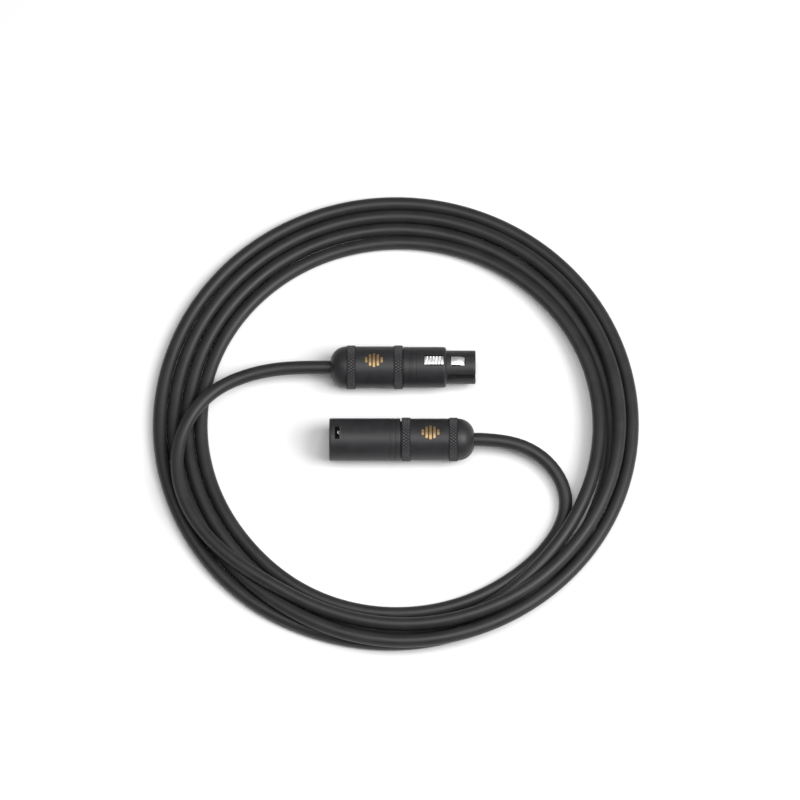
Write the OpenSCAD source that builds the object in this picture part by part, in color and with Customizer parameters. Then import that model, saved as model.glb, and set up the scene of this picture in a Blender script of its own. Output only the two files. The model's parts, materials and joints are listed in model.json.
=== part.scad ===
// Balanced microphone cable, wound into a flat coil with both connectors laid inside it.
// Millimetres, +Z up. The origin is on the floor at the centre of the coil.
// Each connector is drawn along its own +X axis, from its cable end to its front,
// and is then placed in the coil. Screw threads are drawn as rings without lead.

/* [Cord] */
// Outer diameter of the cord's jacket
cord_d = 6.4; // [5.4:0.1:6.6]
// Outer diameter of the insulation on one core
core_d = 1.6; // [1:0.1:1.8]

/* [Coil] */
// Outer radius of the coil
coil_r = 116; // [112:1:150]
// Width of the band of turns
coil_band = 25.8; // [20:0.2:27]
// Height of the band of turns
coil_h = 12.8; // [12:0.2:20]
// Rounding of the band's edges
coil_round = 3.2; // [1:0.2:5]

/* [Places] */
// Cable end of the female connector, along X
female_x = -31.3; // [-32:0.1:-29]
// Axis of the female connector, along Y
female_y = 26; // [20:0.5:26]
// Cable end of the male connector, along X
male_x = 37; // [33:0.1:37]
// Axis of the male connector, along Y
male_y = -10.8; // [-11:0.1:-4]

/* [Sleeve of both connectors] */
// Outer diameter of the smooth part of the barrel
barrel_d = 20; // [19.4:0.1:24]
// Length of the smooth part of the barrel
barrel_l = 18.1; // [14:0.1:22]
// How far a knurled grip stands above the barrel
grip_rise = 0.4; // [0.2:0.05:0.8]
// Length of the grip at the front of the barrel
front_grip_l = 4.4; // [3:0.1:6]
// Length of the grip on the end cap
rear_grip_l = 4.3; // [4:0.1:6]
// Length of the dome of the end cap
dome_l = 7.7; // [7.5:0.1:9.5]
// Wall of the barrel
barrel_wall = 1.15; // [0.9:0.05:1.3]
// Width of the grommet's wall in the end cap
grommet_wall = 1.8; // [1.2:0.1:2.2]

/* [Thread] */
// Pitch of the thread between barrel and shell
pitch = 1; // [0.75:0.05:1.25]
// Depth of the thread
thread_h = 0.35; // [0.2:0.05:0.45]
// Length of the threaded neck
neck_l = 13.6; // [10:0.1:15]
// Wall of the neck
neck_wall = 1.2; // [1:0.05:1.3]

/* [Female front] */
// Outer diameter of the shell
female_d = 19.4; // [19:0.1:19.6]
// Length of the shell between the sleeve and the nose
female_body_l = 20.1; // [20:0.1:24]
// Diameter of the nose that enters the other connector
nose_d = 16; // [15.9:0.05:16.1]
// Length of the nose
nose_l = 14; // [13.5:0.1:16]
// Wall of the nose
nose_wall = 1; // [0.8:0.05:1.1]
// Angle of the keyway from the top of the nose
key_angle = 57; // [50:1:70]
// Width of the keyway
key_w = 3; // [2:0.1:4]

/* [Latch] */
// Length of the push tab's window
tab_l = 9.7; // [8:0.1:10]
// Width of the push tab's window
tab_w = 5.4; // [4.6:0.1:5.6]
// Clearance around the tab
tab_gap = 0.35; // [0.3:0.05:0.5]
// Length of the hook's window
hook_l = 7.1; // [6.8:0.1:8]
// Width of the hook's window
hook_w = 4.8; // [4:0.1:5]
// How far the hook stands above the nose
hook_rise = 0.7; // [0.4:0.05:0.8]
// Thickness of the lever
lever_t = 1.4; // [1:0.1:1.6]
// Diameter of the pivot pin
pivot_d = 1.2; // [1:0.1:1.4]

/* [Male front] */
// Outer diameter of the shell
male_d = 20.2; // [19.8:0.1:20.6]
// Length of the shell in front of the sleeve
male_body_l = 33.8; // [33:0.1:36]
// Depth of the cup around the pins
cup_depth = 18.5; // [17:0.1:19]
// Clearance between the cup and a nose, on the radius
cup_gap = 0.15; // [0.1:0.01:0.3]
// Distance from the rim to the locking slot
slot_back = 2.6; // [2.2:0.1:3]
// Length of the locking slot along the shell
slot_l = 2.3; // [2:0.1:3]
// Width of the locking slot across the shell
slot_w = 6.6; // [5.6:0.1:7]

/* [Contacts] */
// Diameter of the circle that the three contacts stand on
contact_circle = 7.62; // [7.5:0.02:7.7]
// Diameter of a pin
pin_d = 2.4; // [2.3:0.05:2.45]
// Length of a pin in front of its insert
pin_l = 14.3; // [12:0.1:15]
// Outer diameter of a socket
socket_d = 3.4; // [3.3:0.1:3.6]
// Depth of the bore of a socket
socket_depth = 14.6; // [12:0.1:16]
// Clearance between a pin and the bore of a socket, on the radius
socket_gap = 0.05; // [0.02:0.01:0.1]

/* [Badge] */
// Number of bars in the badge
badge_bars = 5; // [3:1:6]
// Length of the badge along the barrel
badge_l = 9.2; // [6:0.2:12]
// Width of the badge around the barrel
badge_w = 7; // [4:0.2:8]
// Thickness of the badge
badge_t = 0.08; // [0.05:0.01:0.2]

/* [Fits] */
// Clearance of turning and sliding fits, on the radius
run = 0.05; // [0.02:0.01:0.1]
// Clearance between fixed pieces
seat = 0.1; // [0.05:0.01:0.15]
// Gap between the barrel and a shell's shoulder
face_gap = 0.5; // [0.2:0.05:0.8]

/* [Hidden] */
$fn = 64;
grip_r = barrel_d / 2 + grip_rise;
axis_z = grip_r;
coil_in = coil_r - coil_band;

// stations along a connector's axis, from its cable end
dome_x = dome_l;
grip_x = dome_x + rear_grip_l;
smooth_x = grip_x + barrel_l;
sleeve_x = smooth_x + front_grip_l;
shell_x = sleeve_x + face_gap;
neck_x = shell_x - neck_l;
body_x = shell_x + female_body_l;
nose_x = body_x + nose_l;
rim_x = shell_x + male_body_l;
cup_x = rim_x - cup_depth;

// radii that follow each other from the barrel inwards
bore_r = barrel_d / 2 - barrel_wall;
neck_r = bore_r - run;
inner_r = neck_r - neck_wall;
insert_r = inner_r - seat;
nose_bore_r = nose_d / 2 - nose_wall;
cup_r = nose_d / 2 + cup_gap;

// a shell keeps a shoulder over its neck, and its inside never misses the nose or the cup
least_shoulder = 0.6;
female_r = max(female_d / 2, neck_r + least_shoulder);
male_r = max(male_d / 2, neck_r + least_shoulder);
nose_root_r = min(inner_r, nose_d / 2 - 0.4);
cup_root_r = min(inner_r, cup_r);

// chuck that clamps the cord
chuck_x = grip_x - 1.8;
chuck_end_x = shell_x - 1.4;
jaw_r = cord_d / 2 + 2.4;
jaw_bore_r = cord_d / 2 + run;
jacket_x = neck_x + 2.7;
wire_room_r = insert_r - 1.2;

// end cap and grommet
spigot_x = dome_x + 0.6;
spigot_r = neck_r - 0.5;
grommet_r = cord_d / 2 + grommet_wall;
dome_c = cord_d / 2 - 0.6;
flange_r = grommet_r + 1.3;
flange_t = 1.6;
flange_x = spigot_x - seat - flange_t - seat;

// contacts
cup_back_x = shell_x + 0.7;
cup_l = 5.5;
contact_r = contact_circle / 2;
cup_d = 3;
pin_stub_x = cup_x + 0.5;
collar_r = pin_d / 2 + 0.3;

// ground springs, each in a slot along the foot of its insert
ground_w = 2.6;
ground_h = 1.4;
slot_room_w = ground_w + 1.4;

// latch: window of the tab, window of the hook, and the lever under them
tab_x = body_x - 1 - tab_l;
hook_x = body_x + 2;
pivot_x = tab_x - 2.2;
pivot_z = 5.3;
lever_w = min(tab_w, hook_w) - 2 * tab_gap + 0.4;
channel_w = lever_w + 1.2;
channel_z = 2.9;
lever_z = pivot_z - lever_t / 2 + 0.1;
eye_r = pivot_d / 2 + 0.65;

// places of the three contacts around the axis, seen from the front: left, right, below
contact_at = [[contact_r, 0], [-contact_r, 0], [0, -contact_r]];

// free route of the cord from each connector to the coil, in the coil's frame
female_route = [[-42, 26, 10.4], [-52, 26, 10.2], [-62, 25, 9.8], [-71, 22.5, 9.6], [-80, 19, 9.6]];
male_route = [[47, -10.8, 10.4], [55, -11.2, 9.6], [63, -12.8, 8], [70, -15.8, 6.4], [76, -20, 5],
    [80.5, -25.4, 3.8]];
female_meet = 171;
male_meet = 338.5;

// ---- shapes that several pieces share ----

// points of an arc around (cx, cy)
function arc(cx, cy, rx, ry, from, to, n = 8) =
    [for (i = [0 : n]) let (a = from + (to - from) * i / n) [cx + rx * cos(a), cy + ry * sin(a)]];

// rings of a thread between two stations, as [radius, station]
function ridges(x0, x1, r) = let (n = floor((x1 - x0) / pitch)) [for (i = [0 : n - 1], side = [0, 1])
    [r - side * thread_h, x0 + (i + side / 2) * pitch]];

// part of the dome's outline between two radii, as [radius, station]
function dome(r0, r1) = let (w = barrel_d / 2 - dome_c)
    arc(dome_c, dome_x, w, dome_x, -acos((r0 - dome_c) / w), -acos((r1 - dome_c) / w), 12);

// unit direction of a route at point i
function heading(p, i) = let (v = p[min(i + 1, len(p) - 1)] - p[max(i - 1, 0)]) v / norm(v);

// one tube along a route, with a ring at every point
module tube(route, d, sides) {
    n = len(route);
    points = [for (i = [0 : n - 1]) let (t = heading(route, i), flat = cross(t, [0, 0, 1]),
        s = flat / norm(flat), u = cross(s, t))
        for (k = [0 : sides - 1]) let (a = 360 * k / sides) route[i] + d / 2 * (cos(a) * s + sin(a) * u)];
    walls = [for (i = [0 : n - 2], k = [0 : sides - 1]) let (m = (k + 1) % sides)
        [i * sides + k, i * sides + m, (i + 1) * sides + m, (i + 1) * sides + k]];
    start = [for (k = [sides - 1 : -1 : 0]) k];
    end = [for (k = [0 : sides - 1]) (n - 1) * sides + k];
    polyhedron(points, concat([start], walls, [end]), convexity = 6);
}

// a cylinder along X between two stations
module rod(x0, x1, r) translate([x0, 0, 0]) rotate([0, 90, 0]) cylinder(h = x1 - x0, r = r);

// a cone along X between two stations
module taper(x0, x1, r0, r1) translate([x0, 0, 0]) rotate([0, 90, 0]) cylinder(h = x1 - x0, r1 = r0, r2 = r1);

// a turned piece from [radius, station] points
module turned(points) rotate([0, 90, 0]) rotate_extrude() polygon(points);

// an outline in X and Z, as wide as w across Y
module strip(w) rotate([90, 0, 0]) linear_extrude(w, center = true) children();

// a fine groove around a shell
module groove(x, r, w, depth) difference() {
    rod(x, x + w, r + 1);
    rod(x - 1, x + w + 1, r - depth);
}

// puts a female or a male piece in the coil
module place_female() translate([female_x, female_y, axis_z]) children();
module place_male() translate([male_x, male_y, axis_z]) rotate([0, 0, 180]) children();

// ---- cord ----

module cable_coil() color("#333436") rotate_extrude($fn = 128) difference() {
    translate([coil_in, 0]) square([coil_band, coil_h]);
    for (side = [0, 1]) translate([coil_in + side * coil_band, coil_h]) mirror([side, 0]) difference() {
        square(2 * coil_round, center = true);
        translate([coil_round, -coil_round]) circle(coil_round);
    }
}

// the straight stretch of the cord inside a connector, from the cut end of the jacket
function inside(x, y, dir) = [for (s = [jacket_x, jacket_x / 2, 0]) [x + dir * s, y, axis_z]];

// the place where a lead runs into the coil's inner wall
function on_coil(angle, z) = [(coil_in + 1) * cos(angle), (coil_in + 1) * sin(angle), z];

module female_lead() color("#333436")
    tube(concat(inside(female_x, female_y, 1), female_route, [on_coil(female_meet, 9.6)]), cord_d, 12);
module male_lead() color("#333436")
    tube(concat(inside(male_x, male_y, -1), male_route, [on_coil(male_meet, 3.6)]), cord_d, 12);

// a core runs from the cut end of the jacket to the solder cup of its contact
module core(at, angle) {
    x0 = jacket_x;
    x1 = cup_back_x + 2.4;
    from = 1.4 * [cos(angle), sin(angle)];
    tube([for (t = [0, 0.1, 0.3, 0.5, 0.7, 1]) let (q = min(max(t - 0.1, 0) / 0.6, 1), s = (3 - 2 * q) * q * q,
        yz = from * (1 - s) + at * s)
        [x0 + (x1 - x0) * t, yz[0], yz[1]]], core_d, 8);
}

// ---- sleeve: barrel, end cap, grommet, chuck and badge ----

module barrel() color("#2c2d2f") turned(concat(
    [[grommet_r + 0.8, spigot_x], [spigot_r, spigot_x], [spigot_r, grip_x], [barrel_d / 2, grip_x],
    [barrel_d / 2, smooth_x - 0.3], [grip_r, smooth_x], [grip_r, sleeve_x - 0.3], [grip_r - 0.3, sleeve_x],
    [bore_r, sleeve_x], [bore_r, neck_x - seat]],
    [[insert_r + seat, neck_x - seat], [jaw_r + seat, chuck_x], [grommet_r + 0.8, chuck_x]]));

module end_cap() color("#2c2d2f") turned(concat(dome(grommet_r + run, barrel_d / 2),
    [[grip_r, dome_x + 0.3], [grip_r, grip_x - 0.3], [grip_r - 0.3, grip_x - seat / 2],
    [spigot_r + seat / 5, grip_x - seat / 2], [spigot_r + seat / 5, spigot_x - seat],
    [flange_r + run, spigot_x - seat], [flange_r + run, flange_x - seat / 2],
    [grommet_r + run, flange_x - seat / 2]]));

module grommet() color("#1f1f20") turned(concat(dome(cord_d / 2 + run, grommet_r),
    [[grommet_r, flange_x], [flange_r, flange_x], [flange_r, flange_x + flange_t],
    [cord_d / 2 + run, flange_x + flange_t]]));

module chuck() color("#d8d4c8") difference() {
    union() {
        taper(chuck_x, neck_x, jaw_r, insert_r);
        rod(neck_x, chuck_end_x, insert_r);
    }
    rod(chuck_x - 1, jacket_x + 0.3, jaw_bore_r);
    rod(jacket_x + 0.3, chuck_end_x + 1, wire_room_r);
    for (a = [45, 135]) rotate([a, 0, 0]) translate([chuck_x - 1, -insert_r - 1, -0.4])
        cube([neck_x - chuck_x - 0.5, 2 * insert_r + 2, 0.8]);
}

module badge() color("#c9a24a") intersection() {
    difference() {
        rod(grip_x, smooth_x, barrel_d / 2 + badge_t);
        rod(grip_x - 1, smooth_x + 1, barrel_d / 2);
    }
    for (i = [0 : badge_bars - 1]) {
        rise = sin(180 * (i + 0.7) / (badge_bars + 0.4));
        bar = badge_l / (badge_bars * 1.6);
        translate([(grip_x + smooth_x - badge_l) / 2 + i * bar * 1.6, -badge_w / 2 * rise, 0])
            cube([bar, badge_w * rise, barrel_d]);
    }
}

// ---- female connector ----

module female_shell() color("#2f3032") difference() {
    union() {
        turned(concat(ridges(neck_x, shell_x - 1, neck_r),
            [[neck_r, shell_x - 1], [neck_r, shell_x]],
            [[female_r, shell_x]], arc(female_r - 1.2, body_x - 1.2, 1.2, 1.2, 0, 90, 5),
            [[nose_root_r, body_x], [nose_root_r, neck_x]]));
        rod(body_x - 0.5, nose_x - 0.6, nose_d / 2);
        taper(nose_x - 0.6, nose_x, nose_d / 2, nose_d / 2 - 0.6);
    }
    rod(neck_x - 1, body_x - 1, inner_r);
    rod(body_x - 2, nose_x + 1, nose_bore_r);
    translate([tab_x, -tab_w / 2, pivot_z]) cube([tab_l, tab_w, 2 * female_r]);
    translate([hook_x, -hook_w / 2, pivot_z]) cube([hook_l, hook_w, 2 * female_r]);
    rotate([key_angle, 0, 0]) translate([body_x + 1, -key_w / 2, nose_bore_r / 2]) cube([nose_l, key_w, nose_d]);
    for (x = [2.6, 4.6, 6.6]) groove(shell_x + x, female_r, 0.3, 0.2);
}

module female_insert() color("#1b1b1c") difference() {
    union() {
        rod(pivot_x - 2.6, body_x - 1 - seat, insert_r);
        rod(body_x - 2, nose_x - 0.8, nose_bore_r - run);
    }
    translate([pivot_x - 4, -channel_w / 2, channel_z])
        cube([hook_x + hook_l + 1 - pivot_x + 4, channel_w, insert_r]);
    for (p = contact_at) translate([0, p[0], p[1]]) rod(pivot_x - 4, nose_x + 1, socket_d / 2 + run);
    translate([pivot_x, 0, pivot_z]) rotate([90, 0, 0]) cylinder(h = 3 * insert_r, r = pivot_d / 2 + 0.02, center = true);
    ground_slot(tab_x - 1, tab_l + 1);
    rotate([key_angle, 0, 0]) translate([body_x - 0.8, -key_w / 2, nose_bore_r - 0.4]) cube([nose_l, key_w, 2]);
}

module female_contact(i) color("#c9c5bb") translate([0, contact_at[i][0], contact_at[i][1]]) difference() {
    union() {
        rod(cup_back_x + cup_l, nose_x - 1, socket_d / 2);
        rod(cup_back_x, cup_back_x + cup_l + 0.5, cup_d / 2);
    }
    rod(nose_x - 1 - socket_depth, nose_x, pin_d / 2 + socket_gap);
    rod(cup_back_x - 1, cup_back_x + cup_l - 1.5, core_d / 2 + run);
    translate([cup_back_x - 1, -socket_d / 2, 0.3]) cube([cup_l - 0.7, socket_d, socket_d]);
}

// a bent strip that ties the shell to the cable's shield
module ground_spring(x, l) color("#c8ccd0") strip(ground_w) translate([x, ground_h - insert_r])
    polygon([[0, 0], [l, 0], [l, -0.3], [l * 0.7, -0.3], [l / 2, -1.05], [l * 0.3, -0.3], [0, -0.3]]);

// the slot that a ground spring lies in
module ground_slot(x, l) translate([x, -slot_room_w / 2, -insert_r - 1])
    cube([l, slot_room_w, ground_h + 1 + seat]);

module latch_lever() color("#c8ccd0") difference() {
    top = female_r - 0.5;
    catch = nose_d / 2 + hook_rise;
    tip = hook_x + hook_l - 1;
    union() {
        strip(lever_w) union() {
            translate([pivot_x, pivot_z]) circle(eye_r);
            polygon([[pivot_x, lever_z], [tip, lever_z], [tip, lever_z + lever_t],
                [hook_x + 3.2, catch], [hook_x + 1, catch], [hook_x + 1, lever_z + lever_t],
                [pivot_x, lever_z + lever_t]]);
        }
        translate([tab_x + tab_gap, -tab_w / 2 + tab_gap, lever_z])
            cube([tab_l - 2 * tab_gap, tab_w - 2 * tab_gap, top - lever_z]);
    }
    translate([pivot_x, 0, pivot_z]) rotate([90, 0, 0]) cylinder(h = 2 * lever_w, r = pivot_d / 2 + run, center = true);
    for (i = [1 : 6]) translate([tab_x + tab_gap + i * (tab_l - 2 * tab_gap) / 7 - 0.3, -tab_w, top - 0.5])
        cube([0.6, 2 * tab_w, 2]);
}

module latch_pin() color("#c8ccd0") translate([pivot_x, 0, pivot_z]) rotate([90, 0, 0])
    cylinder(h = channel_w + 3, d = pivot_d, center = true);

// a leaf folded in a V, flat on the floor of the lever's channel
module latch_spring() color("#b9bdc2") strip(3) polygon([[tab_x + 2, channel_z + 0.02],
    [tab_x + 8.4, channel_z + 0.02], [tab_x + 2.6, channel_z + 1.1], [tab_x + 2.5, channel_z + 0.85],
    [tab_x + 7, channel_z + 0.22], [tab_x + 2, channel_z + 0.22]]);

// ---- male connector ----

module male_shell() color("#2f3032") difference() {
    union() {
        difference() {
            turned(concat(ridges(neck_x, shell_x - 1, neck_r),
                [[neck_r, shell_x - 1], [neck_r, shell_x], [male_r, shell_x], [male_r, rim_x - 0.8]],
                [[male_r - 0.5, rim_x], [cup_root_r, rim_x], [cup_root_r, neck_x]]));
            rod(neck_x - 1, cup_x + 0.01, inner_r);
            rod(cup_x, rim_x + 1, cup_r);
        }
        rotate([-key_angle, 0, 0]) translate([pin_stub_x + seat, -key_w / 2 + 0.3, nose_bore_r + 0.3])
            cube([cup_depth - 3, key_w - 0.6, 1.6]);
    }
    translate([rim_x - slot_back - slot_l, -slot_w / 2, cup_r / 2]) cube([slot_l, slot_w, 2 * male_r]);
    for (x = [1.4, 3.3, 6.2]) groove(shell_x + x, male_r, 0.3, 0.2);
}

module male_insert() color("#1b1b1c") difference() {
    union() {
        rod(cup_x - 12, cup_x - seat, insert_r);
        rod(cup_x - 12, cup_x + 0.5, min(insert_r, cup_r - seat));
    }
    for (p = contact_at) translate([0, p[0], p[1]]) {
        rod(cup_x - 5, cup_x + 1, collar_r + 0.02);
        rod(cup_x - 13, cup_x - 4, cup_d / 2 + 2 * run);
    }
    ground_slot(cup_x - 11.2, tab_l + 0.8);
}

module male_pin(i) color("#c9c5bb") translate([0, contact_at[i][0], contact_at[i][1]]) difference() {
    union() {
        rod(cup_x - 4.5, pin_stub_x, collar_r);
        rod(pin_stub_x - 1, pin_stub_x + pin_l - pin_d / 2, pin_d / 2);
        translate([pin_stub_x + pin_l - pin_d / 2, 0, 0]) sphere(d = pin_d);
        rod(cup_back_x, cup_x - 4, cup_d / 2);
    }
    rod(cup_back_x - 1, cup_back_x + cup_l - 1.5, core_d / 2 + run);
    translate([cup_back_x - 1, -cup_d / 2, 0.3]) cube([cup_l - 0.7, cup_d, cup_d]);
}

// ---- one module for every node ----

module female_contact_1() place_female() female_contact(0);
module female_contact_2() place_female() female_contact(1);
module female_contact_3() place_female() female_contact(2);
module female_hot_core() color("#b3261e") place_female() core(contact_at[1], 180);
module female_cold_core() color("#e8e6e0") place_female() core(contact_at[2], 270);
module female_shield_wire() color("#b9855a") place_female() core(contact_at[0], 0);
module male_hot_core() color("#b3261e") place_male() core(contact_at[1], 180);
module male_cold_core() color("#e8e6e0") place_male() core(contact_at[2], 270);
module male_shield_wire() color("#b9855a") place_male() core(contact_at[0], 0);
module male_pin_1() place_male() male_pin(0);
module male_pin_2() place_male() male_pin(1);
module male_pin_3() place_male() male_pin(2);

cable_coil();
female_lead();
male_lead();
place_female() female_shell();
place_female() female_insert();
female_contact_1();
female_contact_2();
female_contact_3();
place_female() ground_spring(tab_x - 0.6, tab_l);  // female_ground_spring
place_female() latch_lever();
place_female() latch_pin();
place_female() latch_spring();
place_female() chuck();  // female_chuck
female_hot_core();
female_cold_core();
female_shield_wire();
place_female() barrel();  // female_barrel
place_female() end_cap();  // female_end_cap
place_female() grommet();  // female_grommet
place_female() badge();  // female_badge
place_male() male_shell();
place_male() male_insert();
male_pin_1();
male_pin_2();
male_pin_3();
place_male() ground_spring(cup_x - 10.8, tab_l);  // male_ground_spring
place_male() chuck();  // male_chuck
male_hot_core();
male_cold_core();
male_shield_wire();
place_male() barrel();  // male_barrel
place_male() end_cap();  // male_end_cap
place_male() grommet();  // male_grommet
place_male() badge();  // male_badge
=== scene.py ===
import json
import math

import bpy
import numpy as np
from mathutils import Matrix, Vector


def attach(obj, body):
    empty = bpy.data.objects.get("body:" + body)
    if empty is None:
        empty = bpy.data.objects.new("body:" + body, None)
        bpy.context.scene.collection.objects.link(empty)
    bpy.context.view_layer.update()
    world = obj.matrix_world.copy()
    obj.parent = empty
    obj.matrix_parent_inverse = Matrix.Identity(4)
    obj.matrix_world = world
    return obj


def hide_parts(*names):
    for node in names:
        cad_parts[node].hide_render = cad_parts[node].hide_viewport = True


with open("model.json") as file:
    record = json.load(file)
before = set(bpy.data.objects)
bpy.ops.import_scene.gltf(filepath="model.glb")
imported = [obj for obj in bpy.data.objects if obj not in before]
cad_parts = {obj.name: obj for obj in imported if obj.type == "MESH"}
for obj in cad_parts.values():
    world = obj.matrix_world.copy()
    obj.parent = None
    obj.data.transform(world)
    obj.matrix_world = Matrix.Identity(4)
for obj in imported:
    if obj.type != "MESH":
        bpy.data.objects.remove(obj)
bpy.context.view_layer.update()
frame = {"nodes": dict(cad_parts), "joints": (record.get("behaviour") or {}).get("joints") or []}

mm = 0.001
tiny = 1e-6                          # metres; less than this is nothing

# camera, light and floor
studio = {
    "aim": (0.0018, 0.0133, 0),      # the point on the floor in the middle of the picture
    "elevation": 69,                 # degrees above the floor
    "distance": 5.3,                 # far off with a long lens, so that nothing tapers
    "lens": 500,
    "clipStart": 0.05,
    "worldStrength": 0.13,
    "floorSize": 6,
    "floorTint": 0.85,
    "floorRough": 0.9,
    "floorSpecular": 0.1,
    "lights": {                      # where it stands, its size and its power
        "topLight": ((0.1, -0.3, 1.5), 0.9, 12),
        "keyLight": ((1.35, -0.35, 1.65), 1.2, 45),
        "fillLight": ((-0.7, 0.1, 1.2), 0.8, 2),
    },
}


def deselectAll():
    if bpy.context.object and bpy.context.object.mode != "OBJECT":
        bpy.ops.object.mode_set(mode="OBJECT")
    bpy.ops.object.select_all(action="DESELECT")


def selectOnly(piece):
    deselectAll()
    piece.select_set(True)
    bpy.context.view_layer.objects.active = piece


def addAreaLight(name, place, size, power):
    bpy.ops.object.light_add(type="AREA", location=place)
    light = bpy.context.object
    light.name = name
    light.data.size = size
    light.data.energy = power
    light.rotation_euler = (Vector(studio["aim"]) - Vector(place)).to_track_quat("-Z", "Y").to_euler()


def buildStudio():
    tilt = math.radians(studio["elevation"])
    aim = Vector(studio["aim"])
    place = aim + studio["distance"] * Vector((0, -math.cos(tilt), math.sin(tilt)))
    bpy.ops.object.camera_add(location=place, rotation=(math.pi / 2 - tilt, 0, 0))
    camera = bpy.context.object
    camera.data.lens = studio["lens"]
    camera.data.clip_start = studio["clipStart"]
    bpy.context.scene.camera = camera
    bpy.context.scene.view_settings.view_transform = "Standard"

    world = bpy.data.worlds.new("softSky")
    world.use_nodes = True
    sky = world.node_tree.nodes["Background"]
    sky.inputs["Color"].default_value = (1, 1, 1, 1)
    sky.inputs["Strength"].default_value = studio["worldStrength"]
    bpy.context.scene.world = world
    for name, (place, size, power) in studio["lights"].items():
        addAreaLight(name, place, size, power)

    deselectAll()
    bpy.ops.mesh.primitive_plane_add(size=studio["floorSize"])
    floor = bpy.context.object
    floor.name = "floor"
    paper = bpy.data.materials.new("whitePaper")
    paper.use_nodes = True
    shader = paper.node_tree.nodes["Principled BSDF"]
    shader.inputs["Base Color"].default_value = (*[studio["floorTint"]] * 3, 1)
    shader.inputs["Roughness"].default_value = studio["floorRough"]
    shader.inputs["Specular IOR Level"].default_value = studio["floorSpecular"]
    floor.data.materials.append(paper)


# finishes: two tints, roughness from and to, sizes of patch and grain and the grain's depth in millimetres,
# and what else the shader needs
finishes = {
    "cord": {
        "dark": (0.018, 0.018, 0.019), "light": (0.024, 0.024, 0.025), "rough": (0.42, 0.5),
        "patch": 9, "grain": 0.35, "depth": 0.012, "specular": 0.34,
    },
    "sleeve": {
        "dark": (0.018, 0.018, 0.0195), "light": (0.024, 0.024, 0.026), "rough": (0.42, 0.5),
        "patch": 4, "grain": 0.12, "depth": 0.004, "specular": 0.36, "worn": (0.06, 0.06, 0.063),
        # groove: a near-black tone painted into grooves, hollows and the knurl's feet as shade
        "groove": (0.001, 0.001, 0.001),
    },
    "shell": {
        "dark": (0.018, 0.018, 0.0195), "light": (0.024, 0.024, 0.026), "rough": (0.44, 0.52),
        "patch": 5, "grain": 0.2, "depth": 0.008, "specular": 0.36, "worn": (0.06, 0.06, 0.062),
        # groove: a near-black tone painted into grooves, hollows and the knurl's feet as shade
        "groove": (0.004, 0.004, 0.004),
    },
    "insert": {
        "dark": (0.008, 0.008, 0.008), "light": (0.014, 0.014, 0.014), "rough": (0.45, 0.6),
        "patch": 3, "grain": 0.15, "depth": 0.006, "specular": 0.4,
    },
    "grommet": {
        "dark": (0.018, 0.018, 0.019), "light": (0.028, 0.028, 0.029), "rough": (0.5, 0.65),
        "patch": 3, "grain": 0.18, "depth": 0.01, "specular": 0.4,
    },
    "contact": {
        "dark": (0.70, 0.67, 0.60), "light": (0.84, 0.81, 0.74), "rough": (0.14, 0.26),
        "patch": 1.5, "grain": 0.1, "depth": 0.002, "metallic": 1,
    },
    "nickel": {
        "dark": (0.86, 0.86, 0.87), "light": (0.95, 0.95, 0.95), "rough": (0.34, 0.46), "patch": 2,
        "grain": 0.12, "depth": 0.003, "metallic": 1,
    },
    "springSteel": {
        "dark": (0.5, 0.5, 0.52), "light": (0.66, 0.66, 0.68), "rough": (0.25, 0.4), "patch": 2,
        "grain": 0.08, "depth": 0.004, "metallic": 1, "stretch": (0.05, 1, 1),
    },
    "chuck": {
        "dark": (0.55, 0.52, 0.45), "light": (0.66, 0.63, 0.56), "rough": (0.4, 0.55), "patch": 4,
        "grain": 0.3, "depth": 0.01, "specular": 0.45,
    },
    "redCore": {
        "dark": (0.36, 0.016, 0.012), "light": (0.5, 0.026, 0.02), "rough": (0.35, 0.5),
        "patch": 3, "grain": 0.2, "depth": 0.006, "specular": 0.5,
    },
    "whiteCore": {
        "dark": (0.68, 0.67, 0.63), "light": (0.8, 0.79, 0.75), "rough": (0.35, 0.5), "patch": 3,
        "grain": 0.2, "depth": 0.006, "specular": 0.5,
    },
    "copper": {
        "dark": (0.5, 0.24, 0.13), "light": (0.8, 0.45, 0.29), "rough": (0.25, 0.4), "patch": 0.5,
        "grain": 0.25, "depth": 0.05, "metallic": 1, "stretch": (0.15, 1, 1),
    },
    "goldMark": {
        "dark": (0.26, 0.165, 0.07), "light": (0.42, 0.27, 0.12), "rough": (0.34, 0.46),
        "patch": 0.8, "grain": 0.1, "depth": 0.003, "metallic": 0.7,
    },
}

# where the noise turns from one tint to the other, and where the paler worn edges and the painted shade in
# grooves begin and end
shading = {
    "tintFrom": 0.3, "tintTo": 0.7, "patchDetail": 4, "grainDetail": 3, "bumpStrength": 0.6,
    "wornEdge": (0.53, 0.62), "grooveShadeSpan": (0.48, 0.4),
}


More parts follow.
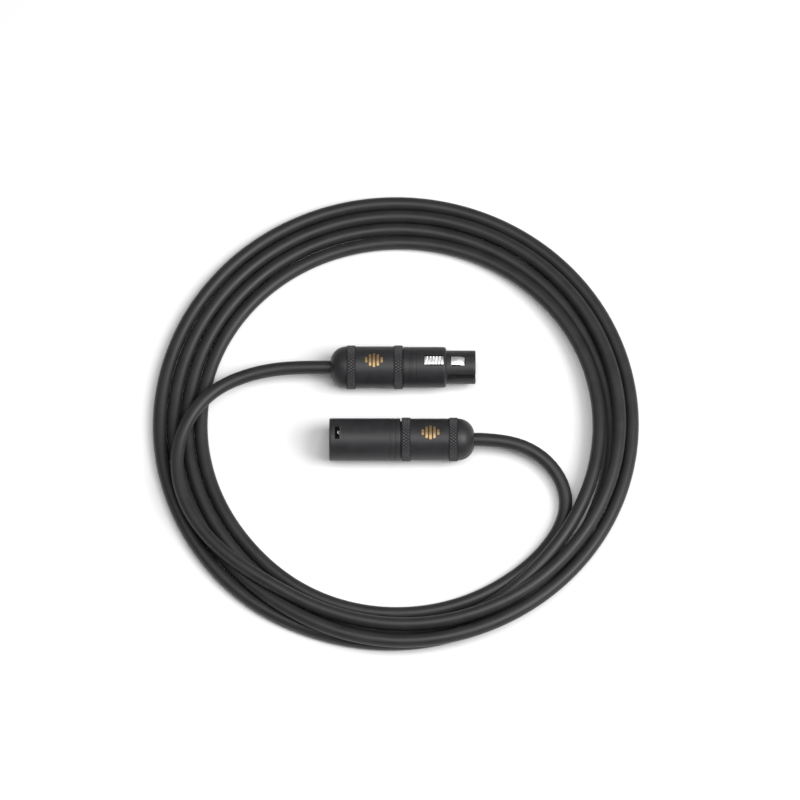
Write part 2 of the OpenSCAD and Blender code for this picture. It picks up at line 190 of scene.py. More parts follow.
def makeFinish(name, look):
    finish = bpy.data.materials.new(name)
    finish.use_nodes = True
    nodes, join = finish.node_tree.nodes, finish.node_tree.links.new
    shader = nodes["Principled BSDF"]
    shader.inputs["Metallic"].default_value = look.get("metallic", 0)
    shader.inputs["Specular IOR Level"].default_value = look.get("specular", 0.5)
    place = nodes.new("ShaderNodeTexCoord")
    turn = nodes.new("ShaderNodeMapping")
    turn.inputs["Scale"].default_value = look.get("stretch", (1, 1, 1))
    join(place.outputs["Object"], turn.inputs["Vector"])

    patches = nodes.new("ShaderNodeTexNoise")        # slow change of tint and gloss over the piece
    patches.inputs["Scale"].default_value = 1 / (look["patch"] * mm)
    patches.inputs["Detail"].default_value = shading["patchDetail"]
    join(turn.outputs["Vector"], patches.inputs["Vector"])
    tint = nodes.new("ShaderNodeValToRGB")
    low, high = tint.color_ramp.elements
    low.position, high.position = shading["tintFrom"], shading["tintTo"]
    low.color, high.color = (*look["dark"], 1), (*look["light"], 1)
    join(patches.outputs["Fac"], tint.inputs["Fac"])
    gloss = nodes.new("ShaderNodeMapRange")
    gloss.inputs["From Min"].default_value = shading["tintFrom"]
    gloss.inputs["From Max"].default_value = shading["tintTo"]
    gloss.inputs["To Min"].default_value, gloss.inputs["To Max"].default_value = look["rough"]
    join(patches.outputs["Fac"], gloss.inputs["Value"])
    join(gloss.outputs["Result"], shader.inputs["Roughness"])

    grain = nodes.new("ShaderNodeTexNoise")          # fine grain that only the light shows
    grain.inputs["Scale"].default_value = 1 / (look["grain"] * mm)
    grain.inputs["Detail"].default_value = shading["grainDetail"]
    join(turn.outputs["Vector"], grain.inputs["Vector"])
    bump = nodes.new("ShaderNodeBump")
    bump.inputs["Strength"].default_value = shading["bumpStrength"]
    bump.inputs["Distance"].default_value = look["depth"] * mm
    join(grain.outputs["Fac"], bump.inputs["Height"])
    join(bump.outputs["Normal"], shader.inputs["Normal"])

    if "worn" not in look:
        join(tint.outputs["Color"], shader.inputs["Base Color"])
        return finish

    def toned(colour, factor, tone):
        mix = nodes.new("ShaderNodeMix")
        mix.data_type = "RGBA"
        join(factor, mix.inputs["Factor"])
        join(colour, mix.inputs["A"])
        mix.inputs["B"].default_value = (*tone, 1)
        return mix.outputs["Result"]

    edge = nodes.new("ShaderNodeNewGeometry")        # the coat is paler along edges where it is worn, and darker in grooves and hollows as painted shade
    colour = tint.outputs["Color"]
    for kind, span in (("worn", shading["wornEdge"]), ("groove", shading["grooveShadeSpan"])):
        wearAndShade = nodes.new("ShaderNodeMapRange")
        wearAndShade.inputs["From Min"].default_value, wearAndShade.inputs["From Max"].default_value = span
        join(edge.outputs["Pointiness"], wearAndShade.inputs["Value"])
        colour = toned(colour, wearAndShade.outputs["Result"], look[kind])
    # painted shade: the feet of the knurl's diamonds get the near-black groove tone; their crowns get the paler
    # worn tone
    for mark, kind in (("foot", "groove"), ("crown", "worn")):
        marked = nodes.new("ShaderNodeAttribute")    # written on the knurled grips' points
        marked.attribute_name = mark
        colour = toned(colour, marked.outputs["Fac"], look[kind])
    join(colour, shader.inputs["Base Color"])
    return finish


def coat(piece, finish):
    # a carried-over piece has its material slots already
    if piece.data.materials:
        for i in range(len(piece.data.materials)):
            piece.data.materials[i] = finish
    else:
        piece.data.materials.append(finish)


# the cord: two free leads, and the coil's turns between them
cord = {
    "diameter": 6.4 * mm,
    "outerLane": 112.8 * mm,         # radius of the centreline of the outermost turn
    "stepsPerTurn": 72,
    "settleRounds": 500,
    "pushOnlyRounds": 60,            # the last rounds only push the turns apart
    "pull": 0.05,                    # share of the way back to the plan in each round
    "smoothing": 0.35,
    "spacing": 1.02,                 # cord widths between the middles of two turns that touch
    "firstHeight": 1.5,              # cord widths up to the middle, where the female lead comes in
    "points": 900,
    "easeRounds": 14,
    "easing": 0.5,
    "straightSteps": 9,              # points at each end that aren't eased
    "bevelSteps": 6,
    "jacketInside": 24.1 * mm,       # how far the jacket reaches into each connector
    "femaleRoute": [(-42, 26, 10.4), (-52, 26, 10.2), (-62, 25, 9.8), (-71, 22.5, 9.6), (-80, 19, 9.6)],
    "maleRoute": [(47, -10.8, 10.4), (54, -11.2, 9.9), (61, -12.8, 8.9), (67, -15.6, 7.7), (72.4, -19.7, 6.5),
                  (76.6, -24.5, 5.4), (79.8, -30.1, 4.5), (81.7, -36, 3.8)],
    # degrees turned, cord widths in from the outer lane, cord heights above the floor
    "plan": [
        (171, 3.6, 1.0), (177, 2.25, 1.0), (183, 1.0, 1.0), (190, 0.35, 1.0), (197, 0.15, 1.0),
        (204, 0.2, 1.0), (212, 0.5, 1.0), (222, 1.02, 1.05), (232, 1.45, 1.05), (243, 1.65, 1.0),
        (256, 1.55, 0.98), (272, 1.3, 1.0), (288, 1.15, 1.12), (302, 1.1, 1.15), (315, 1.05, 1.08),
        (330, 1.0, 0.98), (345, 0.95, 0.88), (360, 0.95, 0.8), (380, 1.0, 0.65), (405, 1.03, 0.4),
        (450, 1.0, 0.1), (495, 1.0, 0), (540, 1.05, 0), (575, 1.02, 0), (586, 0.98, 0.2),
        (596, 0.8, 0.7), (606, 0.5, 1.0), (617, 0.12, 1.1), (628, -0.03, 1.05), (648, -0.05, 1.0),
        (665, 0, 0.8), (690, 0.05, 0.3), (715, 0.02, 0), (765, -0.06, 0), (810, -0.08, 0),
        (855, -0.05, 0), (900, 0, 0), (930, 0.1, 0), (960, 0.16, 0), (985, 0.12, 0), (1000, 0.25, 0),
        (1012, 0.48, 0), (1025, 0.75, 0), (1040, 1.0, 0), (1060, 1.32, 0), (1080, 1.6, 0),
        (1125, 1.88, 0), (1170, 2.0, 0), (1215, 2.05, 0), (1260, 2.07, 0), (1295, 2.05, 0),
        (1310, 1.98, 0), (1325, 1.65, 0), (1340, 1.2, 0), (1355, 1.03, 0), (1366, 1.2, 0.02),
        (1375, 1.5, 0.2), (1384, 1.8, 0.6), (1394, 2.05, 0.97), (1410, 2.26, 1.0), (1425, 2.36, 0.95),
        (1440, 2.48, 0.8), (1465, 2.65, 0.6), (1485, 2.8, 0.45), (1515, 3.05, 0.15), (1535, 3.12, 0),
        (1575, 3.1, 0), (1600, 2.98, 0), (1620, 2.85, 0), (1650, 2.7, 0), (1710, 2.5, 0),
        (1728, 2.5, 0), (1742, 2.48, 0), (1752, 2.48, 0), (1758, 2.5, 0), (1763, 2.58, 0),
        (1768, 2.8, 0), (1773.3, 3.2, 0.03),
    ],
}


def connectorPlace(joint):
    # the point where a connector's axis leaves its cable end
    return Vector(next(j for j in frame["joints"] if j["name"] == joint)["pos_m"])


def smoothLine(knots, places):
    # cubic line through knots of (place, values...), read at the given places
    t = np.array([k[0] for k in knots], float)
    v = np.array([k[1:] for k in knots], float)
    slope = np.gradient(v, t, axis=0)
    i = np.clip(np.searchsorted(t, places, side="right") - 1, 0, len(t) - 2)
    h = (t[i + 1] - t[i])[:, None]
    q = ((places - t[i]) / (t[i + 1] - t[i]))[:, None]
    return ((2 * q**3 - 3 * q**2 + 1) * v[i] + (q**3 - 2 * q**2 + q) * h * slope[i]
            + (3 * q**2 - 2 * q**3) * v[i + 1] + (q**3 - q**2) * h * slope[i + 1])


def settledTurns():
    # the turns sink onto the floor and onto each other, and push each other aside
    d = cord["diameter"]
    n = cord["stepsPerTurn"]
    angles = np.arange(cord["plan"][0][0], cord["plan"][-1][0], 360 / n)
    lane, level = smoothLine(cord["plan"], angles).T
    wantedR, wantedZ = cord["outerLane"] - lane * d, d / 2 + level * d
    r, z = wantedR.copy(), wantedZ.copy()
    turns = int(len(angles) / n)
    for step in range(cord["settleRounds"]):
        if step <= cord["settleRounds"] - cord["pushOnlyRounds"]:
            for line, wanted in ((r, wantedR), (z, wantedZ)):
                line += cord["pull"] * (wanted - line)
                line[1:-1] += cord["smoothing"] * ((line[:-2] + line[2:]) / 2 - line[1:-1])
        for k in range(1, turns + 1):
            a, b = slice(0, len(r) - k * n), slice(k * n, len(r))
            dr, dz = r[a] - r[b], z[a] - z[b]
            gap = np.hypot(dr, dz) + 1e-9
            push = np.maximum(d * cord["spacing"] - gap, 0) / 2
            r[a] += push * dr / gap
            z[a] += push * dz / gap
            r[b] -= push * dr / gap
            z[b] -= push * dz / gap
        z = np.maximum(z, d / 2)
        z[0] = cord["firstHeight"] * d
        r[0], r[-1], z[-1] = wantedR[0], wantedR[-1], wantedZ[-1]
    turned = np.radians(angles)
    return np.stack([r * np.cos(turned), r * np.sin(turned), z], 1)


def buildCord():
    femaleEnd, maleEnd = connectorPlace("female_barrel_turn"), connectorPlace("male_barrel_turn")
    reach = cord["jacketInside"]
    ahead = [np.array(femaleEnd) + (s * reach, 0, 0) for s in (1, 0.5, 0)]
    ahead += [np.array(p) * mm for p in cord["femaleRoute"]]
    behind = [np.array(p) * mm for p in reversed(cord["maleRoute"])]
    behind += [np.array(maleEnd) - (s * reach, 0, 0) for s in (0, 0.5, 1)]
    turns = settledTurns()
    knots = np.array(ahead + list(turns) + behind)
    run = np.concatenate([[0], np.cumsum(np.linalg.norm(np.diff(knots, axis=0), axis=1))])
    spots = np.linspace(0, run[-1], cord["points"])
    line = smoothLine(np.column_stack([run, knots]), spots)
    first, last = cord["straightSteps"], len(line) - cord["straightSteps"]
    for _ in range(cord["easeRounds"]):              # eases the bends, and leaves the ends straight
        between = (line[first - 1:last - 1] + line[first + 1:last + 1]) / 2
        line[first:last] += cord["easing"] * (between - line[first:last])
    length = float(np.linalg.norm(np.diff(line, axis=0), axis=1).sum())

    curve = bpy.data.curves.new("cord", "CURVE")
    curve.dimensions = "3D"
    curve.bevel_depth = 1                            # times each point's radius
    curve.bevel_resolution = cord["bevelSteps"]
    curve.use_fill_caps = True
    spline = curve.splines.new("POLY")
    spline.points.add(len(line) - 1)
    for point, place in zip(spline.points, line):
        point.co = (*place, 1)
        point.radius = cord["diameter"] / 2
    spline.use_smooth = True
    piece = bpy.data.objects.new("cord", curve)
    bpy.context.collection.objects.link(piece)
    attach(piece, "root")
    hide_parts("cable_coil", "female_lead", "male_lead")
    a, b = line[2:-2] - line[:-4], line[4:] - line[2:-2]
    sides = np.linalg.norm(a, axis=1), np.linalg.norm(b, axis=1), np.linalg.norm(a + b, axis=1)
    bend = sides[0] * sides[1] * sides[2] / (2 * np.linalg.norm(np.cross(a, b), axis=1) + 1e-12)
    print("cord:", round(length, 3), "m, tightest bend", round(float(bend.min()) / mm, 1), "mm")
    return piece, length, femaleEnd


def pickFaces(piece, wanted):
    # selects the faces that pass the test, and leaves edit mode on
    if piece.mode != "OBJECT":
        bpy.ops.object.mode_set(mode="OBJECT")
    bpy.context.tool_settings.mesh_select_mode = (False, False, True)
    mesh = piece.data
    for part in (mesh.vertices, mesh.edges, mesh.polygons):
        part.foreach_set("select", [False] * len(part))
    for face in mesh.polygons:
        face.select = wanted(face)
    bpy.ops.object.mode_set(mode="EDIT")


def fromAxis(place):
    return math.hypot(place.y, place.z)


def rounded(corners, steps=4):
    # corners of (station, radius) or (station, radius, rounding), in millimetres, made into an outline
    outline = []
    for i, corner in enumerate(corners):
        if len(corner) < 3:
            outline.append(corner)
            continue
        here = Vector(corner[:2])
        back = (Vector(corners[i - 1][:2]) - here).normalized()
        ahead = (Vector(corners[(i + 1) % len(corners)][:2]) - here).normalized()
        half = back.angle(ahead) / 2
        middle = here + (back + ahead).normalized() * corner[2] / math.sin(half)
        start = here + back * corner[2] / math.tan(half) - middle
        end = here + ahead * corner[2] / math.tan(half) - middle
        for step in range(steps + 1):
            spoke = start.lerp(end, step / steps).normalized() * corner[2]
            outline.append(tuple(middle + spoke))
    return outline


def ringed(outline, plain=2.5, longest=2.0, lead=0.3):
    # rings along every straight stretch that isn't short, and one close to each of its ends
    line = [outline[0]]
    for (s0, r0), (s1, r1) in zip(outline, outline[1:]):
        length = math.hypot(s1 - s0, r1 - r0)
        if length > plain:
            steps = int(length / longest) + 1
            cuts = [lead / length] + [i / steps for i in range(1, steps)] + [1 - lead / length]
            line += [(s0 + (s1 - s0) * q, r0 + (r1 - r0) * q) for q in cuts]
        line.append((s1, r1))
    return line


def turned(name, outline, sides, rings=True):
    # a closed outline of (station, radius): one ring of points, extruded and resized along it
    deselectAll()
    outline = ringed(outline) if rings else outline
    station, radius = outline[0]
    bpy.ops.mesh.primitive_circle_add(vertices=sides, radius=radius * mm, location=(station * mm, 0, 0),
                                      rotation=(0, math.pi / 2, 0))
    piece = bpy.context.object
    piece.name = name
    bpy.ops.object.transform_apply()
    bpy.ops.object.mode_set(mode="EDIT")
    bpy.ops.mesh.select_all(action="SELECT")
    for nextStation, nextRadius in outline[1:]:
        onward = ((nextStation - station) * mm, 0, 0)
        bpy.ops.mesh.extrude_edges_move(TRANSFORM_OT_translate={"value": onward})
        grow = nextRadius / radius
        bpy.ops.transform.resize(value=(1, grow, grow), center_override=(nextStation * mm, 0, 0))
        station, radius = nextStation, nextRadius
    bpy.ops.mesh.select_all(action="DESELECT")
    bpy.context.tool_settings.mesh_select_mode = (False, True, False)
    bpy.ops.mesh.select_non_manifold()
    bpy.ops.mesh.bridge_edge_loops()
    bpy.ops.mesh.select_all(action="SELECT")
    bpy.ops.mesh.normals_make_consistent(inside=False)
    bpy.ops.object.mode_set(mode="OBJECT")
    return piece


def smoothOff(piece, degrees=35):
    selectOnly(piece)
    bpy.ops.object.shade_smooth_by_angle(angle=math.radians(degrees))


def cutWith(piece, cutters, how="DIFFERENCE"):
    # one boolean for each cutter, applied, and the cutter thrown away
    for cutter in cutters:
        selectOnly(piece)
        cut = piece.modifiers.new("cut", "BOOLEAN")
        cut.operation = how
        cut.solver = "EXACT"
        cut.object = cutter
        bpy.ops.object.modifier_apply(modifier=cut.name)
        bpy.data.objects.remove(cutter)


def block(low, high, corner=0.0, turn=0.0, segments=4):
    # a box between two corners in millimetres, its upright edges rounded, then turned about the axis
    deselectAll()
    middle = [(a + b) / 2 * mm for a, b in zip(low, high)]
    bpy.ops.mesh.primitive_cube_add(size=1, location=middle)
    box = bpy.context.object
    box.scale = [(b - a) * mm for a, b in zip(low, high)]
    bpy.ops.object.transform_apply()
    if corner:
        mesh = box.data
        bpy.context.tool_settings.mesh_select_mode = (False, True, False)
        for part in (mesh.vertices, mesh.edges, mesh.polygons):
            part.foreach_set("select", [False] * len(part))
        for edge in mesh.edges:
            a, b = (mesh.vertices[v].co for v in edge.vertices)
            edge.select = abs(a.z - b.z) > tiny
        bpy.ops.object.mode_set(mode="EDIT")
        bpy.ops.mesh.bevel(offset=corner * mm, segments=segments, affect="EDGES")
        bpy.ops.object.mode_set(mode="OBJECT")
    box.rotation_euler.x = math.radians(turn)
    bpy.ops.object.transform_apply()
    return box


# barrel, end cap and grommet, the same on both connectors, in millimetres from the cable end
sleeve = {
    "domeEnd": 7.7,
    "rearGripEnd": 12.0,
    "smoothEnd": 30.1,
    "end": 34.5,
    "radius": 10.0,
    "valley": 10.08,                 # radius at the foot of the grip's diamonds
    "rim": 10.3,                     # radius of the plain rims of a grip
    "rise": 0.36,                    # height of a diamond
    "rimWidth": 0.16,
    "around": 44,                    # diamonds round a grip
    "rows": 2,
    "tip": 0.24,                     # how far a diamond's sides lean in
    "rimInset": 0.05,                # from a rim to the foot of the first diamonds
    "rimEdge": 0.08,
    "rimFoot": 0.04,
    "bore": 8.85,
    "domeRadius": 7.4,               # the dome is part of an ellipse around this far from its rim
    "socket": 8.4,                   # radius where the barrel slips over the end cap's spigot
    "bodyEdge": 0.12,
    "frontFace": 10.2,
    "boreEdge": 0.15,
    # station and radius down the inside, from the front to the back
    "barrelInside": ((21.3, 8.85), (21.3, 7.7), (10.2, 5.8), (8.3, 5.8), (8.3, 8.3), (12.0, 8.3)),
    "capMouth": 5.05,
    "capInside": ((11.95, 8.32), (8.2, 8.32), (8.2, 6.35), (6.45, 6.35), (6.45, 5.05)),
    "grommetMouth": 3.4,
    "grommetRim": 4.95,
    "grommetInside": ((6.5, 5.0), (6.5, 6.3), (8.1, 6.3), (8.1, 3.25), (0.2, 3.25)),
    "grommetSteps": 6,
    "grommetSides": 64,
}


def grip(first, last):
    # outline of a knurled band between two stations, before its diamonds
    a, b = first + sleeve["rimWidth"], last - sleeve["rimWidth"]
    rows, rim, inset = sleeve["rows"], sleeve["rim"], sleeve["rimInset"]
    below = rim - 0.5                                # only steers the rounding of the outer edges
    band = [(a + inset + (b - a - 2 * inset) * i / rows, sleeve["valley"]) for i in range(rows + 1)]
    back = [(first, below), (first, rim, sleeve["rimEdge"]), (a, rim, sleeve["rimFoot"])]
    front = [(b, rim, sleeve["rimFoot"]), (last, rim, sleeve["rimEdge"]), (last, below)]
    return rounded(back + band + front, 2)[1:-1]


def knurl(piece, first, last):
    # the band's square faces become diamonds, and each one is raised
    a, b = (first + sleeve["rimWidth"]) * mm, (last - sleeve["rimWidth"]) * mm
    low, high = (sleeve["valley"] - 0.05) * mm, (sleeve["valley"] + 0.02) * mm

    def inBand(face):
        return a < face.center.x < b and low < fromAxis(face.center) < high and abs(face.normal.x) < 0.1

    pickFaces(piece, inBand)
    bpy.ops.mesh.poke()
    bpy.ops.mesh.tris_convert_to_quads()
    pickFaces(piece, inBand)
    bpy.ops.mesh.inset(use_individual=True, thickness=sleeve["tip"] * mm, depth=sleeve["rise"] * mm)
    bpy.ops.object.mode_set(mode="OBJECT")
    # the foot mark is where painted shade darkens the knurl; the crown mark is where its tops are worn paler
    marks = [piece.data.attributes.get(name) or piece.data.attributes.new(name, "FLOAT", "POINT")
             for name in ("foot", "crown")]          # 1 at the foot or on top of a diamond, 0 everywhere else
    crown = (sleeve["valley"] + 0.8 * sleeve["rise"]) * mm
    edge = 0.02 * mm
    for corner in piece.data.vertices:
        if a + edge < corner.co.x < b - edge:
            fromLine = fromAxis(corner.co)
            marks[0].data[corner.index].value = float(low < fromLine < high)
            marks[1].data[corner.index].value = float(fromLine > crown)


def domeLine(fromRadius, toRadius, steps=14):
    # stations and radii along the dome
    middle = sleeve["radius"] - sleeve["domeRadius"]
    start, end = (math.acos((r - middle) / sleeve["domeRadius"]) for r in (fromRadius, toRadius))
    turns = [start + (end - start) * i / steps for i in range(steps + 1)]
    return [(sleeve["domeEnd"] * (1 - math.sin(t)), middle + sleeve["domeRadius"] * math.cos(t))
            for t in turns]


def buildBarrel():
    body, back, end = sleeve["radius"], sleeve["rearGripEnd"], sleeve["end"]
    outline = rounded([(back, sleeve["socket"]), (back, body, sleeve["bodyEdge"]),
                       (sleeve["smoothEnd"], body)], 3)
    outline += grip(sleeve["smoothEnd"], end)
    outline += rounded([(end, sleeve["frontFace"]), (end, sleeve["bore"], sleeve["boreEdge"]),
                        *sleeve["barrelInside"]], 3)[1:]
    piece = turned("barrel", outline, sleeve["around"])
    knurl(piece, sleeve["smoothEnd"], sleeve["end"])
    smoothOff(piece)
    return piece


def buildEndCap():
    outline = domeLine(sleeve["capMouth"], sleeve["radius"])
    outline += grip(sleeve["domeEnd"], sleeve["rearGripEnd"])
    outline += sleeve["capInside"]
    piece = turned("endCap", outline, sleeve["around"])
    knurl(piece, sleeve["domeEnd"], sleeve["rearGripEnd"])
    smoothOff(piece)
    return piece


def buildGrommet():
    outline = domeLine(sleeve["grommetMouth"], sleeve["grommetRim"], sleeve["grommetSteps"])
    outline += sleeve["grommetInside"]
    piece = turned("grommet", outline, sleeve["grommetSides"])
    smoothOff(piece)
    return piece


# the printed mark: bars like those of a level meter, wrapped round the barrel
mark = {
    "bars": 5, "length": 9.2, "width": 7.0, "thickness": 0.07, "corner": 0.4, "middle": 21.05,
    "sunk": 0.02, "barShare": 0.62, "swellStart": 0.7, "swellMore": 0.4,
    "skin": (10, 32), "skinSides": 168, "cutHeights": (6, 12),
}


def buildMark():
    pitch = mark["length"] / mark["bars"]
    inner, outer = sleeve["radius"] - mark["sunk"], sleeve["radius"] + mark["thickness"]
    back, front = mark["skin"]
    low, high = mark["cutHeights"]
    parts = []
    for i in range(mark["bars"]):
        start = mark["middle"] - mark["length"] / 2 + i * pitch
        swell = (i + mark["swellStart"]) / (mark["bars"] + mark["swellMore"])
        half = mark["width"] / 2 * math.sin(math.pi * swell)
        skin = turned("bar", [(back, inner), (back, outer), (front, outer), (front, inner)],
                      mark["skinSides"], rings=False)
        box = block((start, -half, low), (start + pitch * mark["barShare"], half, high), mark["corner"])
        cutWith(skin, [box], "INTERSECT")
        smoothOff(skin)
        parts.append(skin)
    deselectAll()
    for part in parts:
        part.select_set(True)
    bpy.context.view_layer.objects.active = parts[0]
    bpy.ops.object.join()
    parts[0].name = "mark"
    return parts[0]


shellSides = 112
neckEdge = 0.2                       # rounding where a shell's body starts

# the socket connector's shell
femaleShell = {
    "neckStart": 21.4, "neck": 8.8, "neckBore": 7.6, "relief": 0.9, "threadDepth": 0.35, "pitch": 1.0,
    "bodyStart": 34.62, "body": 9.7, "bodyEnd": 55.1, "shoulder": 1.25,
    "nose": 8.0, "noseEnd": 69.1, "noseBore": 7.0, "noseBoreStart": 54.1,
    "noseFoot": 0.3, "noseRim": 0.6, "noseLip": 0.2,
    "lines": (37.3, 38.4, 40.6), "lineWidth": 0.28, "lineDepth": 0.18,
    "tabWindow": ((44.4, -2.7, 5.3), (54.1, 2.7, 12)),
    "hookWindow": ((57.1, -2.4, 5.3), (64.2, 2.4, 12)),
    "windowCorner": 0.5,
    "keyAngle": 57, "keyWidth": 3.0, "keySpan": (56.1, 75), "keyHeights": (3.5, 20),
}


def threaded(look):
    # rings of a thread, from the neck's end to the relief before its shoulder
    pitch, top = look["pitch"], look["neck"]
    foot = top - look["threadDepth"]
    line = []
    station = look["neckStart"]
    while station + pitch <= look["bodyStart"] - look["relief"]:
        line += [(station, foot), (station + 0.12 * pitch, top), (station + 0.45 * pitch, top),
                 (station + 0.6 * pitch, foot)]
        station += pitch
    return line


def scoredFront(look, slope=0.03, edge=0.05):
    # the shoulder, then the start of a smooth body with fine turned lines in it
    radius, width = look["body"], look["lineWidth"]
    foot = radius - look["lineDepth"]
    outline = [(look["bodyStart"], look["neck"]), (look["bodyStart"], radius, neckEdge)]
    for line in look["lines"]:
        outline += [(line, radius, edge), (line + slope, foot, edge),
                    (line + width - slope, foot, edge), (line + width, radius, edge)]
    return outline


def buildFemaleShell():
    look = femaleShell
    body, nose, bore = look["bodyEnd"], look["noseEnd"], look["noseBoreStart"]
    front = scoredFront(look)
    front += [(body, look["body"], look["shoulder"]), (body, look["nose"], look["noseFoot"]),
              (nose, look["nose"], look["noseRim"]), (nose, look["noseBore"], look["noseLip"]),
              (bore, look["noseBore"]), (bore, look["neckBore"]), (look["neckStart"], look["neckBore"])]
    piece = turned("femaleShell", threaded(look) + rounded(front, 5), shellSides)
    key = look["keyWidth"] / 2
    (start, end), (low, high) = look["keySpan"], look["keyHeights"]
    cutWith(piece, [block(*look["tabWindow"], look["windowCorner"]),
                    block(*look["hookWindow"], look["windowCorner"]),
                    block((start, -key, low), (end, key, high), 0, look["keyAngle"])])
    smoothOff(piece)
    return piece


# the latch lever, with its ribbed tab and its hook
latch = {
    "pivot": (42.2, 5.3), "eye": 1.25, "halfWidth": 2.05, "bottom": 4.7, "top": 6.1, "front": 63.9,
    "tab": (44.75, 53.75), "tabTop": 9.3, "hook": (57.45, 61.6), "hookTop": 8.75, "rampDrop": 1.3,
    "ribs": 6, "ribGap": 0.34, "ribDepth": 0.16, "softEdge": 0.14, "softAngle": 40, "eyeSides": 32,
}


def cutAcross(station):
    bpy.ops.mesh.bisect(plane_co=(station * mm, 0, 0), plane_no=(1, 0, 0))


def raiseFaces(height):
    bpy.ops.mesh.extrude_region_move(TRANSFORM_OT_translate={"value": (0, 0, height * mm)})


def buildLatch():
    look = latch
    wide = look["halfWidth"]
    piece = block((look["pivot"][0], -wide, look["bottom"]), (look["front"], wide, look["top"]))
    piece.name = "latch"
    bpy.ops.object.mode_set(mode="EDIT")
    for station in (*look["tab"], *look["hook"]):
        bpy.ops.mesh.select_all(action="SELECT")
        cutAcross(station)
    top = look["top"] * mm
    near = (look["front"] - 0.1) * mm                # anything past here is the lever's front end

    def topBetween(first, last, level=top):
        return lambda face: (first * mm < face.center.x < last * mm and face.normal.z > 0.9
                             and abs(face.center.z - level) < 0.05 * mm)

    pickFaces(piece, topBetween(*look["tab"]))
    raiseFaces(look["tabTop"] - look["top"])
    pickFaces(piece, topBetween(look["hook"][0], look["front"]))
    raiseFaces(look["hookTop"] - look["top"])
    pickFaces(piece, lambda face: face.normal.x > 0.9 and face.center.x > near and face.center.z > top)
    bpy.ops.object.mode_set(mode="OBJECT")
    for corner in piece.data.vertices:               # the hook's front corners, for its ramp
        corner.select = corner.co.x > near and corner.co.z > top + 0.1 * mm
    bpy.context.tool_settings.mesh_select_mode = (True, False, False)
    bpy.ops.object.mode_set(mode="EDIT")
    bpy.ops.transform.translate(value=(0, 0, -look["rampDrop"] * mm))

    first, last = look["tab"]
    step = (last - first) / look["ribs"]
    grooves = [first + i * step for i in range(1, look["ribs"])]
    onTab = topBetween(first, last, look["tabTop"] * mm)
    for groove in grooves:
        for side in (-0.5, 0.5):
            pickFaces(piece, onTab)
            cutAcross(groove + side * look["ribGap"])
    pickFaces(piece, lambda face: onTab(face) and min(abs(face.center.x - g * mm) for g in grooves) < 0.1 * mm)
    raiseFaces(-look["ribDepth"])
    bpy.ops.object.mode_set(mode="OBJECT")

    deselectAll()
    bpy.ops.mesh.primitive_cylinder_add(vertices=look["eyeSides"], radius=look["eye"] * mm, depth=2 * wide * mm,
                                        location=(look["pivot"][0] * mm, 0, look["pivot"][1] * mm),
                                        rotation=(math.pi / 2, 0, 0))
    eye = bpy.context.object
    bpy.ops.object.transform_apply()
    cutWith(piece, [eye], "UNION")
    soft = piece.modifiers.new("softEdge", "BEVEL")
    soft.width = look["softEdge"] * mm
    soft.segments = 2
    soft.limit_method = "ANGLE"
    soft.angle_limit = math.radians(look["softAngle"])
    bpy.ops.object.modifier_apply(modifier=soft.name)
    smoothOff(piece)
    return piece


# the pin connector's shell
maleShell = {
    "neckStart": 21.4, "neck": 8.8, "neckBore": 7.6, "relief": 0.9, "threadDepth": 0.35, "pitch": 1.0,
    "bodyStart": 35.0, "body": 10.1, "rim": 68.8, "rimRound": 0.7,
    "cup": 8.15, "cupFloor": 50.3, "cupLip": 0.3,
    "lines": (37.3, 39.9), "lineWidth": 0.28, "lineDepth": 0.16,
    "slot": ((63.9, -3.3, 4), (66.2, 3.3, 14)), "slotCorner": 0.35,
    "keyRib": ((50.9, -1.2, 7.3), (66.3, 1.2, 8.9)), "keyAngle": -57,
}


def buildMaleShell():
    look = maleShell
    front = scoredFront(look)
    front += [(look["rim"], look["body"], look["rimRound"]), (look["rim"], look["cup"], look["cupLip"]),
              (look["cupFloor"], look["cup"]), (look["cupFloor"], look["neckBore"]),
              (look["neckStart"], look["neckBore"])]
    piece = turned("maleShell", threaded(look) + rounded(front, 5), shellSides)
    cutWith(piece, [block(*look["keyRib"], 0, look["keyAngle"])], "UNION")
    cutWith(piece, [block(*look["slot"], look["slotCorner"])])
    smoothOff(piece)
    return piece


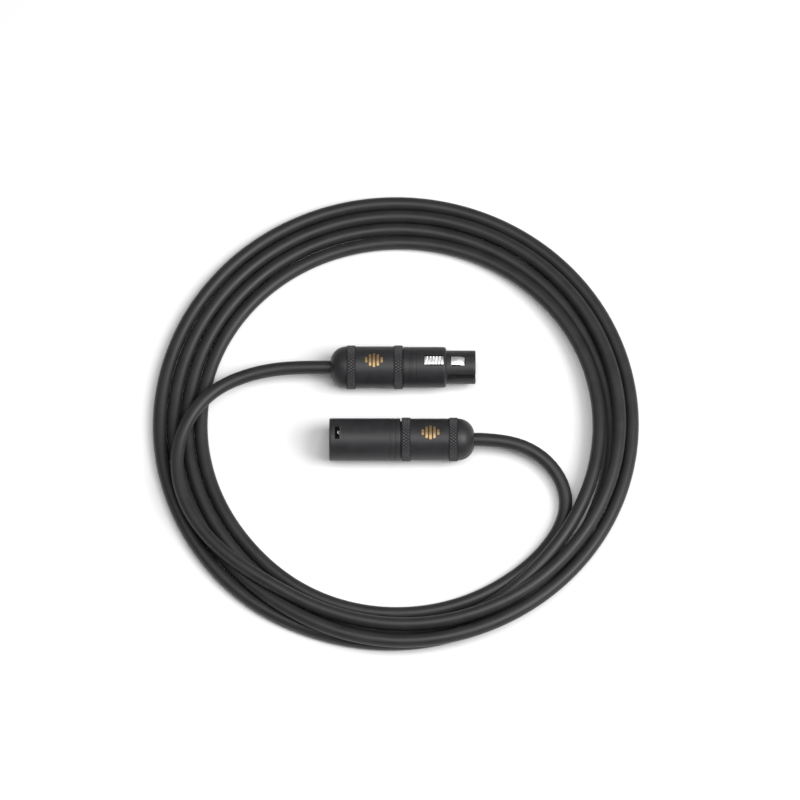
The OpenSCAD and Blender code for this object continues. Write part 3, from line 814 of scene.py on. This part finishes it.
def layInCoil(piece, side):
    # from the connector's own axis to its place in the coil, kept in the mesh
    selectOnly(piece)
    piece.location = connectorPlace(side + "_barrel_turn")
    piece.rotation_euler = (0, 0, math.pi if side == "male" else 0)
    bpy.ops.object.transform_apply()


def fit(piece, name, body, node, finish):
    piece.name = name
    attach(piece, body)
    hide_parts(node)
    coat(piece, finish)


def buildConnectors(finish):
    # what builds it, its node, body, slot and finish
    shared = [
        (buildBarrel, "barrel", "sleeve", "sleeve", "sleeve"),
        (buildEndCap, "end_cap", "sleeve", "sleeve", "sleeve"),
        (buildMark, "badge", "sleeve", "gold_mark", "goldMark"),
        (buildGrommet, "grommet", "gland", "grommet", "grommet"),
    ]
    single = [
        (buildFemaleShell, "female", "female_shell", "root", "shell", "shell"),
        (buildLatch, "female", "latch_lever", "latch", "nickel", "nickel"),
        (buildMaleShell, "male", "male_shell", "root", "shell", "shell"),
    ]
    for build, node, body, slot, look in shared:
        first = build()
        selectOnly(first)
        bpy.ops.object.duplicate()
        second = bpy.context.object
        for side, piece in (("female", first), ("male", second)):
            layInCoil(piece, side)
            name = side + node.title().replace("_", "")
            fit(piece, name, side + "_" + body, side + "_" + node, finish[look])
        print(node + ":", len(first.data.polygons), "faces, on both connectors")
    for build, side, node, body, slot, look in single:
        piece = build()
        layInCoil(piece, side)
        fit(piece, piece.name, body, node, finish[look])
        print(node + ":", len(piece.data.polygons), "faces")


# what the carried-over pieces are made of
carried = {
    "insert": ("female_insert", "male_insert"),
    "contact": ("female_contact_1", "female_contact_2", "female_contact_3",
                "male_pin_1", "male_pin_2", "male_pin_3"),
    "springSteel": ("female_ground_spring", "male_ground_spring", "latch_spring"),
    "nickel": ("latch_pin",),
    "chuck": ("female_chuck", "male_chuck"),
    "redCore": ("female_hot_core", "male_hot_core"),
    "whiteCore": ("female_cold_core", "male_cold_core"),
    "copper": ("female_shield_wire", "male_shield_wire"),
}


buildStudio()
finish = {name: makeFinish(name, look) for name, look in finishes.items()}
cordPiece, cordLength, cordExit = buildCord()
buildConnectors(finish)
coat(cordPiece, finish["cord"])
for look, nodes in carried.items():
    for node in nodes:
        coat(frame["nodes"][node], finish[look])

bpy.context.view_layer.update()
